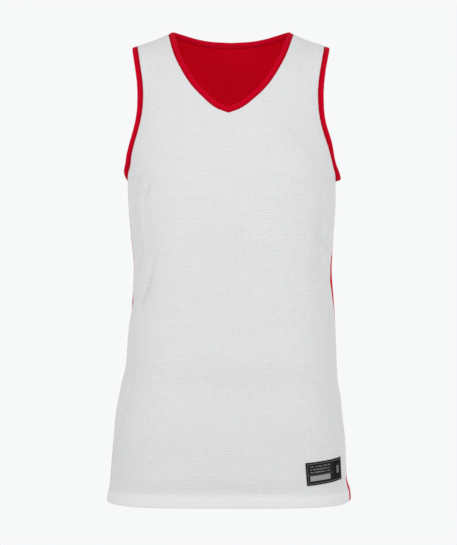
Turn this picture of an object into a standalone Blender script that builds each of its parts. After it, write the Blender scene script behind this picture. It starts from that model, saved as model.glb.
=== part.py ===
"""A sleeveless V-neck basketball jersey of two mesh layers, white outside and red
inside, filled out as if worn, with no wearer in it. Metres, +Z up.

The origin is at the middle of the shoulders, where the wearer holds the jersey up.
The front faces -Y, and +X is the wearer's left. Every panel comes from one surface
that runs between the two layers: each layer is that surface moved a little out or in
and given its thickness, so the layers never touch.
"""

import math

import bmesh
import bpy
import numpy as np

# Sizes of the cut, in metres.
HEM = -0.7063              # height of the hem under the shoulders
UNDERARM = -0.2164         # height of the lowest point of the armhole seam
NECK_POINT = 0.0128        # height of the shoulder line where the neck band ends
NECK_POINT_REACH = 0.0870  # distance of that point from the centre
SHOULDER_SLOPE = 0.39      # fall of the shoulder line for each metre outwards
SHOULDER_START = 0.0800    # where the line straightens: inside it, it is rounded over
SHOULDER_SAG = 0.0012      # how far it sags between the neck band and the armhole band
SHOULDER_END = 0.1430      # distance of the armhole seam from the centre, on the line
V_POINT = -0.1187          # height of the seam at the point of the V
V_LEAN = -0.0038           # how far the point of the V hangs to the wearer's right
EDGE_LEAN = 0.66           # share of that lean which is lost at the armholes
BACK_NECK = -0.0083        # height of the seam at the centre of the back neck
ARMHOLE_FRONT = 0.060      # how far the armhole reaches forwards of the shoulder line
ARMHOLE_BACK = 0.054       # and backwards of it
STRIPE_WIDTH = 0.020       # red stripe in each side seam
BAND_WIDTH = 0.0090        # neck and armhole bands, finished
HEM_DEPTH = 0.0225         # turned-up hem of the outer layer
LINING_DROP = 0.0008       # how far the inner layer hangs below the hem

CLOTH = 0.0010             # thickness of one layer
HEM_CLOTH = 0.0016         # thickness of the outer layer where its hem is turned up
BAND_CLOTH = 0.0026        # thickness of a band
GAP = 0.0003               # between any two sewn pieces
YOKE_FULLNESS = 0.12       # fullness of the rings over the yoke, like the body's below
YOKE_START = 0.40          # share of the armhole's height where the yoke starts
ROLL = 1.25                # how flat the cloth runs off the shoulder line: 1 is an ellipse
HALF_COLUMNS = 8           # columns of faces from the centre to a side

LABEL_WIDTH = 0.078        # woven label above the hem, on the wearer's left
LABEL_HEIGHT = 0.034
LABEL_CENTRE = (0.1440, -0.6545)  # x and height of its middle
LABEL_TILT = math.radians(3.0)
LABEL_CLOTH = 0.0010
LABEL_CLEAR = 0.0007       # from the panel: its faces are flat between its points

# Rings of the body: how far it reaches to each side, forwards and backwards, and how much
# fuller than an ellipse its outline is.
BODY = [
    ("height", "right_arm_side", "left_arm_side", "front", "back", "fullness"),
    (-0.7063, 0.1892, 0.1833, 0.1250, 0.1120, 0.50),
    (-0.6950, 0.1881, 0.1829, 0.1248, 0.1115, 0.50),
    (-0.6700, 0.1847, 0.1779, 0.1244, 0.1100, 0.49),
    (-0.6210, 0.1802, 0.1757, 0.1232, 0.1050, 0.47),
    (-0.5720, 0.1756, 0.1697, 0.1215, 0.0990, 0.45),
    (-0.5470, 0.1712, 0.1679, 0.1205, 0.0955, 0.44),
    (-0.5230, 0.1666, 0.1637, 0.1195, 0.0920, 0.43),
    (-0.4980, 0.1609, 0.1621, 0.1185, 0.0885, 0.42),
    (-0.4490, 0.1574, 0.1607, 0.1165, 0.0835, 0.40),
    (-0.3990, 0.1522, 0.1579, 0.1150, 0.0805, 0.38),
    (-0.3500, 0.1495, 0.1550, 0.1150, 0.0820, 0.37),
    (-0.3000, 0.1535, 0.1579, 0.1166, 0.0885, 0.36),
    (-0.2450, 0.1573, 0.1602, 0.1179, 0.0952, 0.34),
    (-0.2164, 0.1577, 0.1595, 0.1180, 0.0965, 0.34),
]

# The armhole seam, from the underarm at 0 to the shoulder at 1: how far out it lies on
# the front and back, and how far round the ring, in degrees, the cloth has turned there.
ARMHOLE = [
    ("share", "front", "back", "turn"),
    (0.000, 0.1595, 0.1595, 88.0),
    (0.050, 0.1580, 0.1578, 82.0),
    (0.100, 0.1552, 0.1545, 76.0),
    (0.175, 0.1510, 0.1495, 68.5),
    (0.260, 0.1454, 0.1435, 61.0),
    (0.345, 0.1398, 0.1380, 57.0),
    (0.433, 0.1349, 0.1335, 54.0),
    (0.520, 0.1321, 0.1310, 52.0),
    (0.610, 0.1314, 0.1302, 52.0),
    (0.700, 0.1323, 0.1312, 52.0),
    (0.790, 0.1347, 0.1338, 52.0),
    (0.880, 0.1380, 0.1376, 51.0),
    (1.000, 0.1430, 0.1430, 50.0),
]

# The neck seam: half its width at each height of the front, and its height across the back.
FRONT_NECK = [
    ("height", "reach"),
    (-0.1187, 0.0000),
    (-0.1120, 0.0173),
    (-0.0940, 0.0398),
    (-0.0750, 0.0576),
    (-0.0470, 0.0752),
    (-0.0240, 0.0860),
    (0.0092, 0.0963),
]
BACK_NECK_CURVE = [
    ("height", "reach"),
    (-0.0083, 0.0000),
    (-0.0077, 0.0250),
    (-0.0048, 0.0500),
    (0.0014, 0.0750),
    (0.0092, 0.0963),
]

# Where the red stripe starts, behind (+) or ahead (-) of the side line.
STRIPE = [
    ("height", "right_arm_side", "left_arm_side"),
    (-0.7063, -0.0070, -0.0410),
    (-0.6960, -0.0090, -0.0400),
    (-0.6840, -0.0110, -0.0320),
    (-0.6680, -0.0130, -0.0120),
    (-0.6400, -0.0140, -0.0030),
    (-0.5500, -0.0140, -0.0020),
    (-0.4700, -0.0140, -0.0060),
    (-0.4400, -0.0140, -0.0150),
    (-0.4100, -0.0140, -0.0290),
    (-0.3800, -0.0140, -0.0370),
    (-0.3500, -0.0140, -0.0320),
    (-0.3200, -0.0140, -0.0190),
    (-0.2700, -0.0120, -0.0080),
    (-0.2164, -0.0090, -0.0080),
]

# The largest folds, as soft troughs (-) and ridges (+) across the cloth.
FOLDS = [
    ("side", "x", "height", "length", "width", "angle", "rise"),
    ("front", -0.140, -0.262, 0.060, 0.012, 80.0, -0.0045),
    ("front", -0.118, -0.275, 0.055, 0.014, 78.0, 0.0025),
    ("front", -0.128, -0.372, 0.060, 0.013, 66.0, -0.0045),
    ("front", -0.108, -0.360, 0.055, 0.014, 68.0, 0.0025),
    ("front", -0.136, -0.478, 0.055, 0.014, 68.0, -0.0045),
    ("front", -0.150, -0.545, 0.050, 0.016, 55.0, -0.0040),
    ("front", 0.136, -0.262, 0.055, 0.016, 100.0, -0.0035),
    ("front", 0.128, -0.350, 0.065, 0.018, 82.0, -0.0035),
    ("front", 0.140, -0.520, 0.090, 0.018, 100.0, -0.0030),
    ("front", 0.000, -0.520, 0.140, 0.060, 0.0, -0.0030),
    ("front", 0.000, -0.672, 0.170, 0.012, 0.0, -0.0018),
    ("back", 0.000, -0.390, 0.120, 0.026, 0.0, -0.0040),
    ("back", 0.070, -0.440, 0.080, 0.022, 24.0, -0.0035),
    ("back", -0.075, -0.450, 0.080, 0.022, -22.0, -0.0035),
    ("back", 0.120, -0.300, 0.070, 0.018, 74.0, -0.0035),
    ("back", -0.122, -0.310, 0.075, 0.018, -72.0, -0.0035),
    ("back", 0.030, -0.600, 0.110, 0.026, 84.0, 0.0040),
    ("back", -0.085, -0.610, 0.110, 0.026, 96.0, 0.0035),
]

# Rows of faces: heights of the body's rings, then shares of the armhole's height.
BODY_ROWS = [HEM, HEM + HEM_DEPTH - 0.0006, HEM + HEM_DEPTH + 0.0006] + [
    -0.6620 + 0.0303 * step for step in range(15)
]
FRONT_SHARES = [0.04, 0.10, 0.17, 0.25, 0.33, None, 0.420, 0.455, 0.50, 0.55, 0.605,
                0.66, 0.715, 0.77, 0.83, 0.89, 0.94, 0.975, 0.994, 1.0]
BACK_SHARES = [0.04, 0.10, 0.17, 0.25, 0.34, 0.43, 0.52, 0.61, 0.70, 0.78, None,
               0.850, 0.862, 0.88, 0.905, 0.935, 0.965, 0.986, 0.996, 1.0]

COLOURS = {
    "white_mesh": (0.80, 0.80, 0.80, 0.75),
    "red_mesh": (0.42, 0.002, 0.010, 0.75),
    "red_band": (0.58, 0.002, 0.020, 0.65),
    "black_label": (0.015, 0.015, 0.016, 0.60),
}


def column(table, name):
    """One named column of a table, from its second row down."""
    place = table[0].index(name)
    return np.array([row[place] for row in table[1:]], float)


def smooth(table, key, value, at):
    """A table's value at a key, on a curve through its rows that never overshoots them."""
    x, y = column(table, key), column(table, value)
    order = np.argsort(x)
    x, y = x[order], y[order]
    step, slope = np.diff(x), np.diff(y) / np.diff(x)
    tangent = np.zeros_like(y)
    tangent[0], tangent[-1] = slope[0], slope[-1]
    same = slope[:-1] * slope[1:] > 0
    weight_a, weight_b = 2 * step[1:] + step[:-1], step[1:] + 2 * step[:-1]
    below, above = np.where(same, slope[:-1], 1.0), np.where(same, slope[1:], 1.0)
    mean = (weight_a + weight_b) / (weight_a / below + weight_b / above)
    tangent[1:-1] = np.where(same, mean, 0.0)
    at = np.clip(at, x[0], x[-1])
    place = np.clip(np.searchsorted(x, at) - 1, 0, len(step) - 1)
    t = (at - x[place]) / step[place]
    return (
        y[place] * (1 + 2 * t) * (1 - t) ** 2
        + step[place] * tangent[place] * t * (1 - t) ** 2
        + y[place + 1] * t**2 * (3 - 2 * t)
        + step[place] * tangent[place + 1] * t**2 * (t - 1)
    )


def arm_side(sign):
    return "left_arm_side" if sign > 0 else "right_arm_side"


def shoulder_line(x):
    """Height of the shoulder line over a point x from the centre: a low arch, then straight."""
    x = np.abs(x)
    arch = np.clip(SHOULDER_START - x, 0.0, None) ** 2 / (2 * SHOULDER_START)
    strap = np.clip((x - NECK_POINT_REACH) / (SHOULDER_END - NECK_POINT_REACH), 0.0, 1.0)
    sag = SHOULDER_SAG * np.sin(math.pi * strap) ** 2
    return NECK_POINT + (NECK_POINT_REACH - x - arch) * SHOULDER_SLOPE - sag


def share_of(x, height):
    """How far up a point is, from the underarm at 0 to the shoulder line at 1."""
    return (height - UNDERARM) / (shoulder_line(x) - UNDERARM)


def depth_round(turn, fullness):
    """Depth of a body ring at an angle from its front, against its depth at the front."""
    return np.cos(turn) * (1 + fullness * np.sin(turn) ** 2)


def turn_at(depth, full_depth, fullness):
    """The angle at which a ring of some full depth has come back to the given depth."""
    turn = math.acos(depth / (full_depth * (1 + fullness)))
    for _ in range(20):
        turn -= (depth / full_depth - float(depth_round(turn, fullness))) / (1 + fullness)
    return turn


def fold_rise(side, x, height):
    """How far the folds lift the cloth at a point."""
    rise = np.zeros_like(x)
    for kind, fold_x, fold_z, length, width, angle, amount in FOLDS[1:]:
        if kind != side:
            continue
        c, s = math.cos(math.radians(angle)), math.sin(math.radians(angle))
        along = (x - fold_x) * c + (height - fold_z) * s
        across = (height - fold_z) * c - (x - fold_x) * s
        rise += amount * np.exp(-((along / length) ** 2) - (across / width) ** 2)
    return rise


def ring_points(side, sign, turns, last_turn, reach, edge_depth, depth, fullness, height, lean):
    """Points on one row, from its section: x grows as the sine of the turn, and depth
    falls from the centre's to the edge's as the ring's own curve does."""
    x = reach * np.sin(turns) / math.sin(last_turn)
    last = depth_round(last_turn, fullness)
    fall = (depth_round(turns, fullness) - last) / (1 - last)
    y = edge_depth + (depth - edge_depth) * fall
    z = height(x) if callable(height) else np.full_like(x, height)
    lift = fold_rise(side, sign * x, z)
    away_x, away_y = x / reach**2, np.maximum(y, 0.0) / max(depth, 0.02) ** 2
    size = np.maximum(np.hypot(away_x, away_y), 1e-9)
    x = sign * (x + lift * away_x / size) + lean * (1 - EDGE_LEAN * (x / reach) ** 2)
    y = (y + lift * away_y / size) * (-1 if side == "front" else 1)
    return np.stack([x, y, z], axis=1)


def side_edge_depth(side, sign, height):
    """Depth at which a panel meets the stripe, forwards for the front, back for the back."""
    start = float(smooth(STRIPE, "height", arm_side(sign), height))
    return -start if side == "front" else start + STRIPE_WIDTH


def panel_rows(side, sign, extra):
    """Half a panel's rows of points, from the hem to the shoulder line. Extra is how far
    the panel's side edge is kept back from the middle of its seam."""
    shares = FRONT_SHARES if side == "front" else BACK_SHARES
    neck = FRONT_NECK if side == "front" else BACK_NECK_CURVE
    neck_height = V_POINT if side == "front" else BACK_NECK
    centre_share = share_of(0.0, neck_height)
    arm_depth = ARMHOLE_FRONT if side == "front" else ARMHOLE_BACK
    chest = float(smooth(BODY, "height", side, UNDERARM))
    chest_reach = float(smooth(BODY, "height", arm_side(sign), UNDERARM))
    chest_fullness = float(smooth(BODY, "height", "fullness", UNDERARM))
    steps = np.linspace(0.0, 1.0, HALF_COLUMNS + 1)
    rows = []
    for height in BODY_ROWS:
        depth = float(smooth(BODY, "height", side, height))
        reach = float(smooth(BODY, "height", arm_side(sign), height))
        edge = side_edge_depth(side, sign, height) + extra
        fullness = float(smooth(BODY, "height", "fullness", height))
        last = turn_at(edge, depth, fullness)
        rows.append(ring_points(side, sign, steps * last, last, reach * math.sin(last), edge,
                                depth, fullness, height, 0.0))
    seam_heights = np.linspace(column(neck, "height")[0], column(neck, "height")[-1], 200)
    seam_reach = smooth(neck, "height", "reach", seam_heights)
    seam_shares = share_of(seam_reach, seam_heights)
    edge = side_edge_depth(side, sign, UNDERARM) + extra
    first = (1 - math.sqrt(1 - (edge / arm_depth) ** 2)) / 2
    for share in [first] + shares:
        share = centre_share if share is None else share
        ease = min(share / YOKE_START, 1.0)
        fullness = chest_fullness + (YOKE_FULLNESS - chest_fullness) * ease**2 * (3 - 2 * ease)
        depth = chest * (1 - share**2) ** (ROLL / 2)
        last = math.radians(float(smooth(ARMHOLE, "share", "turn", share)))
        reach = float(smooth(ARMHOLE, "share", side, share))
        reach += (chest_reach - column(ARMHOLE, side)[0]) * (1 - share) ** 2
        edge_depth = 2 * arm_depth * math.sqrt(max(share * (1 - share), 0.0))
        if share == first:
            last = turn_at(edge, depth, fullness)
            reach = chest_reach * math.sin(last)
            edge_depth = edge
        neck_reach = 0.0
        if share > centre_share:
            neck_reach = float(np.interp(share, seam_shares, seam_reach))
        start = math.asin(neck_reach * math.sin(last) / reach)
        turns = start + (last - start) * steps
        lean = V_LEAN * math.sin(math.pi * min(share / (2 * centre_share), 0.75)) ** 2
        lean = lean * (1 - share**6) if side == "front" else 0.0
        points = ring_points(
            side, sign, turns, last, reach, edge_depth, depth, fullness,
            lambda x, share=share: UNDERARM + share * (shoulder_line(x) - UNDERARM), lean,
        )
        if share == 1.0:
            points[:, 1] = GAP / 2 * (-1 if side == "front" else 1)
        rows.append(points)
    return np.array(rows)


def neck_row(side):
    """The row at which the panel's centre line ends in the neck seam."""
    shares = FRONT_SHARES if side == "front" else BACK_SHARES
    return len(BODY_ROWS) + 1 + shares.index(None)


def side_points(sign, height, y):
    """A point on the side of the body ring, y behind the side line."""
    side = "front" if y < 0 else "back"
    depth = float(smooth(BODY, "height", side, height))
    reach = float(smooth(BODY, "height", arm_side(sign), height))
    turn = turn_at(abs(y), depth, float(smooth(BODY, "height", "fullness", height)))
    return np.array([sign * reach * math.sin(turn), y, height])


def stripe_rows(sign, shares_across):
    """Rows of points across the stripe's place, from the hem to the underarm."""
    rows = []
    for height in BODY_ROWS + [UNDERARM]:
        start = float(smooth(STRIPE, "height", arm_side(sign), height))
        row = []
        for share in shares_across:
            y = start + share * STRIPE_WIDTH
            point = side_points(sign, height, y)
            if height == UNDERARM:
                arm_depth = ARMHOLE_FRONT if y < 0 else ARMHOLE_BACK
                rise = (1 - math.sqrt(1 - (y / arm_depth) ** 2)) / 2
                point[2] += rise * (shoulder_line(point[0]) - UNDERARM)
            row.append(point)
        rows.append(row)
    return np.array(rows)


def grid_faces(rows, columns, first, flip):
    """Triangles of a grid whose points are numbered row by row from first."""
    faces = []
    for row in range(rows - 1):
        for place in range(columns - 1):
            a = first + row * columns + place
            b, c, d = a + 1, a + columns + 1, a + columns
            faces += [(a, b, c), (a, c, d)] if not flip else [(a, c, b), (a, d, c)]
    return faces


def welded_mesh(grids):
    """One triangle mesh from grids that share their edges, as (points, faces, flip) each."""
    build = bmesh.new()
    for points, flip in grids:
        made = [build.verts.new(point) for point in points.reshape(-1, 3)]
        for face in grid_faces(points.shape[0], points.shape[1], 0, flip):
            build.faces.new([made[place] for place in face])
    bmesh.ops.remove_doubles(build, verts=build.verts, dist=1e-6)
    build.normal_update()
    return build


def material(name, look):
    """A Principled material in one of the jersey's colours."""
    made = bpy.data.materials.new(name)
    made.use_nodes = True
    red, green, blue, roughness = COLOURS[look]
    shader = made.node_tree.nodes["Principled BSDF"]
    shader.inputs["Base Color"].default_value = (red, green, blue, 1.0)
    shader.inputs["Roughness"].default_value = roughness
    shader.inputs["Metallic"].default_value = 0.0
    made.diffuse_color = (red, green, blue, 1.0)
    return made


def cloth(collection, name, look, build, shift, thickness, offset, thick_below=None):
    """An open surface made an object: moved along its normals, then given a wall."""
    for vert in build.verts:
        vert.co += vert.normal * shift
    mesh = bpy.data.meshes.new(name)
    build.to_mesh(mesh)
    build.free()
    piece = bpy.data.objects.new(name, mesh)
    piece.data.materials.append(material(name, look))
    collection.objects.link(piece)
    wall = piece.modifiers.new("wall", "SOLIDIFY")
    wall.thickness = thickness
    wall.offset = offset
    if thick_below is not None:
        group = piece.vertex_groups.new(name="thickness")
        for vert in mesh.vertices:
            share = 1.0 if vert.co.z < thick_below else CLOTH / thickness
            group.add([vert.index], share, "REPLACE")
        wall.vertex_group = group.name
    mesh.shade_smooth()
    return piece


def outer_panel(collection, side):
    """The white layer of the front or back, with its hem turned up."""
    grids = [(panel_rows(side, sign, GAP / 2), (sign > 0) != (side == "front"))
             for sign in (-1, 1)]
    cloth(collection, side + "_panel", "white_mesh", welded_mesh(grids), GAP / 2, HEM_CLOTH,
          1.0, HEM + HEM_DEPTH)


def lining_panel(collection, side):
    """The red layer, which goes on under the stripes and meets the other at their middle."""
    grids = []
    for sign in (-1, 1):
        flip = (sign > 0) != (side == "front")
        rows = panel_rows(side, sign, GAP / 2)
        rows[-1, :, 1] *= 4.0
        half = 0.5 - GAP / STRIPE_WIDTH if side == "front" else 0.5 + GAP / STRIPE_WIDTH
        under = stripe_rows(sign, [0.0, half])
        under[:, 0] = rows[: len(under), -1]
        rows[0, :, 2] -= LINING_DROP
        under[0, :, 2] = rows[0, -1, 2]
        if side == "back":
            under = under[:, ::-1]
        grids += [(rows, flip), (under, flip != (side == "back"))]
    cloth(collection, side + "_lining", "red_mesh", welded_mesh(grids), -GAP / 2, CLOTH, -1.0)


def side_stripe(collection, sign, name):
    """The red stripe between the white panels, on one side."""
    edge = GAP / 2 / STRIPE_WIDTH
    rows = stripe_rows(sign, [edge, 0.5, 1 - edge])
    cloth(collection, name, "red_band", welded_mesh([(rows, sign < 0)]), GAP / 2, CLOTH, 1.0)


def unit(vectors):
    return vectors / np.linalg.norm(vectors, axis=-1, keepdims=True)


def grid_normals(points, outward):
    """Normals of a grid from the steps along its rows and columns."""
    across, along = np.gradient(points, axis=1), np.gradient(points, axis=0)
    return unit(np.cross(across, along)) * outward


def band(collection, name, path, normals, flare):
    """A band sewn round an opening: a strip that goes on from the seam in the cloth's own
    direction, mitred where the seam turns, and turned outwards by its flare."""
    normals = unit(np.roll(normals, 1, axis=0) + 2 * normals + np.roll(normals, -1, axis=0))
    before, after = unit(path - np.roll(path, 1, axis=0)), unit(np.roll(path, -1, axis=0) - path)
    along = unit(before + after)
    half_turn = np.sqrt((1 + np.sum(before * after, axis=1)) / 2)
    inwards = unit(np.cross(normals, along)) / half_turn[:, None]
    clear = GAP + BAND_CLOTH / 2 * np.sin(flare)[:, None]
    lift = normals * np.tan(flare)[:, None]
    columns = [path + inwards * (clear + far) + lift * far
               for far in (0.0, BAND_WIDTH / 2, BAND_WIDTH)]
    points = np.stack(columns, axis=1)
    points = np.concatenate([points, points[:1]])
    cloth(collection, name, "red_band", welded_mesh([(points, False)]), 0.0, BAND_CLOTH, 0.0)


def seam_point(rows, facing, row, place, sign):
    """A point on a panel's edge and the way its cloth faces. On the shoulder line, where
    front and back meet, it lies between them and faces up the line's slope."""
    if row < len(rows) - 1:
        return rows[row, place], facing[row, place]
    return rows[row, place] * [1, 0, 1], unit(np.array([sign * SHOULDER_SLOPE, 0.0, 1.0]))


def neck_band(collection):
    """The band round the neck, from the point of the V round the back and down again."""
    path, normals = [], []
    order = [("front", 1, 1), ("back", 1, -1), ("back", -1, 1), ("front", -1, -1)]
    for side, sign, way in order:
        rows = panel_rows(side, sign, GAP / 2)
        outward = sign * (1 if side == "front" else -1)
        facing = grid_normals(rows, outward)
        start = neck_row(side)
        stretch = range(start, len(rows)) if way > 0 else range(len(rows) - 1, start - 1, -1)
        for row in list(stretch)[:-1]:
            point, normal = seam_point(rows, facing, row, 0, sign)
            path.append(point)
            normals.append(normal)
    path, normals = np.array(path), np.array(normals)
    band(collection, "neck_band", path, normals, np.zeros(len(path)))


def armhole_band(collection, sign, name):
    """The band round an armhole, from the underarm up the front and down the back."""
    path, normals = [], []
    first = len(BODY_ROWS)
    for side, way in (("front", 1), ("back", -1)):
        rows = panel_rows(side, sign, GAP / 2)
        outward = sign * (1 if side == "front" else -1)
        facing = grid_normals(rows, outward)
        stretch = range(first, len(rows)) if way > 0 else range(len(rows) - 2, first - 1, -1)
        for row in stretch:
            point, normal = seam_point(rows, facing, row, -1, sign)
            path.append(point)
            normals.append(normal)
    path.append(stripe_rows(sign, [0.5])[-1, 0])
    normals.append(np.array([float(sign), 0.0, 0.0]))
    path, normals = np.array(path), np.array(normals)
    if sign > 0:
        path, normals = path[::-1], normals[::-1]
    low = np.clip((-0.150 - path[:, 2]) / 0.06, 0.0, 1.0)
    band(collection, name, path, normals, math.radians(24.0) * low)


def between(grid, row, place):
    """A point between a grid's points, at a part row and a part column."""
    r = np.clip(np.floor(row).astype(int), 0, grid.shape[0] - 2)
    c = np.clip(np.floor(place).astype(int), 0, grid.shape[1] - 2)
    u, v = (row - r)[..., None], (place - c)[..., None]
    low = grid[r, c] * (1 - v) + grid[r, c + 1] * v
    high = grid[r + 1, c] * (1 - v) + grid[r + 1, c + 1] * v
    return low * (1 - u) + high * u


def hem_label(collection):
    """The woven label, laid on the front panel's points and moved out of its cloth."""
    rows = panel_rows("front", 1, GAP / 2)
    facing = grid_normals(rows, 1)
    heights = rows[: len(BODY_ROWS), 0, 2]
    centre_row = float(np.interp(LABEL_CENTRE[1], heights, np.arange(len(heights))))
    line = between(rows, np.full(HALF_COLUMNS + 1, centre_row),
                   np.arange(HALF_COLUMNS + 1, dtype=float))
    arc = np.concatenate([[0.0], np.cumsum(np.linalg.norm(np.diff(line, axis=0), axis=1))])
    centre_arc = np.interp(LABEL_CENTRE[0], line[:, 0], arc)
    u, v = np.meshgrid(np.linspace(-0.5, 0.5, 15) * LABEL_WIDTH,
                       np.linspace(-0.5, 0.5, 7) * LABEL_HEIGHT)
    across = centre_arc + u * math.cos(LABEL_TILT) - v * math.sin(LABEL_TILT)
    up = LABEL_CENTRE[1] + u * math.sin(LABEL_TILT) + v * math.cos(LABEL_TILT)
    place = np.interp(across, arc, np.arange(len(arc)))
    row = np.interp(up, heights, np.arange(len(heights)))
    points = between(rows, row, place)
    normals = unit(between(facing, row, place))
    points = points + normals * (GAP / 2 + CLOTH + LABEL_CLEAR)
    cloth(collection, "hem_label", "black_label", welded_mesh([(points, False)]), 0.0,
          LABEL_CLOTH, 1.0)


def main():
    for old in list(bpy.data.objects):
        bpy.data.objects.remove(old, do_unlink=True)
    jersey = bpy.data.collections.new("basketball_jersey")
    bpy.context.scene.collection.children.link(jersey)
    for side in ("front", "back"):
        outer_panel(jersey, side)
        lining_panel(jersey, side)
    side_stripe(jersey, 1, "side_stripe_left")
    side_stripe(jersey, -1, "side_stripe_right")
    neck_band(jersey)
    armhole_band(jersey, 1, "armhole_band_left")
    armhole_band(jersey, -1, "armhole_band_right")
    hem_label(jersey)


main()
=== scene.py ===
import math

import bpy
import numpy as np
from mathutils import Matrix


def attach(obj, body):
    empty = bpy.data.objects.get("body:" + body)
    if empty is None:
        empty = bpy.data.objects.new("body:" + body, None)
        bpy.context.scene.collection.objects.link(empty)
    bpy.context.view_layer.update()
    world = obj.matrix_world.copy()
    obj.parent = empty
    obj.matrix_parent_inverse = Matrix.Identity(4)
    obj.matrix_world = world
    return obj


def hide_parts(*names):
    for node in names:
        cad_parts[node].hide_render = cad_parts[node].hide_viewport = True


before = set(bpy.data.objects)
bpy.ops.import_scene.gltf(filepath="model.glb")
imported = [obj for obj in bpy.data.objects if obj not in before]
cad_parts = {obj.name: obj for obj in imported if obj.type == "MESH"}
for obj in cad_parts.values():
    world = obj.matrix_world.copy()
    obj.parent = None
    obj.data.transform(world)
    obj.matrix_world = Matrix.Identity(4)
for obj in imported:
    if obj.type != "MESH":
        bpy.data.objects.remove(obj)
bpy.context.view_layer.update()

print("Frame loaded:", len(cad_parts), "solids, each to be dressed in its own cloth")

# The cut, in metres: +X is the wearer's left, the front faces -Y, and z is 0 at the shoulders.
cut = {
    "hem": -0.7063,               # height of the hem
    "underarm": -0.2164,          # height of the lowest point of the armhole seam
    "neckPoint": 0.0128,          # height of the shoulder line where the neck band ends
    "neckPointReach": 0.0870,     # distance of that point from the centre
    "shoulderSlope": 0.39,        # fall of the shoulder line for each metre outwards
    "shoulderStart": 0.0800,      # inside this the line is rounded over
    "shoulderSag": 0.0012,        # sag of the strap between its two bands
    "shoulderEnd": 0.1430,        # distance of the armhole seam from the centre
    "frontNeck": -0.1187,         # height of the seam at the point of the V
    "backNeck": -0.0081,          # height of the seam at the middle of the back neck
    "vLean": -0.0038,             # how far the point of the V hangs to one side
    "leanHold": 0.68,             # above the V the lean falls as a sine, up to these half turns
    "edgeLean": 0.66,             # share of that lean lost at the armholes
    "frontArmhole": 0.060,        # how far the armhole reaches forwards
    "backArmhole": 0.054,         # and backwards
    "stripeWidth": 0.020,
    "stripeCurve": 0.020,         # height over which it bends to the armhole's curve
    "gap": 0.0003,                # between any two sewn pieces
    "yokeFullness": 0.12,         # how full the rings over the yoke are
    "yokeStart": 0.40,            # share of the armhole's height where the yoke starts
    "yokeSettle": 0.04,           # and where it has left the body's own rings
    "roll": 1.25,                 # how flat the cloth runs off the shoulder line
    "hemRise": 0.0048,            # how much higher the hem hangs at the wearer's left side
    "hemRiseAt": 92.0,            # where, in degrees round the body
    "hemRiseWide": 17.0,
    "hemRiseUp": 0.045,           # height over which it dies away
}

clothLook = {
    "cloth": 0.0010,              # thickness of one layer
    "hemCloth": 0.0017,           # thickness of the outer layer where the hem is turned up
    "hemDepth": 0.0183,
    "hemStep": 0.0009,            # half the width of the step at the top of the hem
    "hemRound": 0.0013,           # radius of the fold at the very bottom
    "hemEdge": 0.45,              # share of the thickness that is left at its lowest edge
    "seamDip": 0.38,              # share of its thickness that a layer loses at a seam
    "seamDipWidth": 0.0022,
    "pucker": 0.00016,            # ripple along the hem's stitching
    "puckerPitch": 0.0083,
    "puckerWide": 0.004,
    "liningDrop": 0.0001,         # how far the inner layer hangs below the hem
    "columns": (30, 46),          # columns of faces over a panel's middle, and out to its side
    "sideFrom": 0.56,             # share of the way out where they close up
    "rowPitch": 0.0031,           # height of one row of faces on the body
    "hemClear": 0.00234,          # from the hem's top to the evenly spaced rows
    "topClear": 0.003,            # and from those to the underarm
    "yokeRows": 92,
    "yokeBunch": 1.6,             # how much closer together they lie towards the shoulder
}


def table(names, rows):
    # Named columns of numbers, in the order of the first one. A starred column is written in
    # millimetres and kept in metres.
    columns = zip(names.split(), np.array(sorted(rows), float).T)
    return {name.strip("*"): values / (1000 if "*" in name else 1) for name, values in columns}


# Rings of the body: its reach to each side, its depth before and behind the side line, and
# how much fuller than an ellipse it is.
bodyRings = table("height* rightReach* leftReach* frontDepth* backDepth* fullness", [
    (-706.3, 189.2, 183.3, 125, 112, 0.5),
    (-695, 188.1, 182.6, 124.8, 111.5, 0.5),
    (-670, 184.4, 176.6, 124.4, 110, 0.49),
    (-621, 180, 174.7, 123.2, 105, 0.47),
    (-572, 175.6, 169.7, 121.5, 99, 0.45),
    (-547, 171.2, 167.9, 120.5, 95.5, 0.44),
    (-523, 166.6, 163.7, 119.5, 92, 0.43),
    (-498, 160.4, 161.5, 118.5, 88.5, 0.42),
    (-449, 156.6, 159.8, 116.5, 83.5, 0.4),
    (-399, 150.6, 157, 115, 80.5, 0.38),
    (-350, 148.3, 153.9, 115, 82, 0.37),
    (-300, 152.6, 156.5, 116.6, 88.5, 0.36),
    (-245, 156.8, 159.8, 117.9, 95.2, 0.34),
    (-216.4, 157.7, 159.5, 118, 96.5, 0.34),
])

# The armhole seam from the underarm at 0 to the shoulder at 1: how far out it lies on the
# front and back, and how far round the ring, in degrees, the cloth has turned there.
armholeSeam = table("share front* back* turn", [
    (0, 159.5, 159.5, 88),
    (0.05, 158, 157.8, 82),
    (0.1, 155.2, 154.5, 76),
    (0.175, 151.7, 150.2, 68.5),
    (0.26, 146.4, 144.5, 61),
    (0.345, 140.3, 138.5, 57),
    (0.433, 135.3, 133.8, 54),
    (0.52, 132.5, 131.3, 52),
    (0.61, 131.7, 130.5, 52),
    (0.7, 132.8, 131.6, 52),
    (0.79, 135.4, 134.3, 52),
    (0.88, 138.6, 138, 51),
    (1, 143, 143, 50),
])

# The neck seam: half its width at each height of the front, and of the back.
neckSeam = {
    "front": table("height* reach*", [
        (-118.7, 0),
        (-112, 17.3),
        (-94, 39.8),
        (-75, 57.6),
        (-47, 75.2),
        (-24, 86),
        (9.2, 96.3),
    ]),
    "back": table("height* reach*", [
        (-8.1, 0),
        (-7.2, 25),
        (-4, 50),
        (2.2, 75),
        (9.2, 96.3),
    ]),
}

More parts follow.
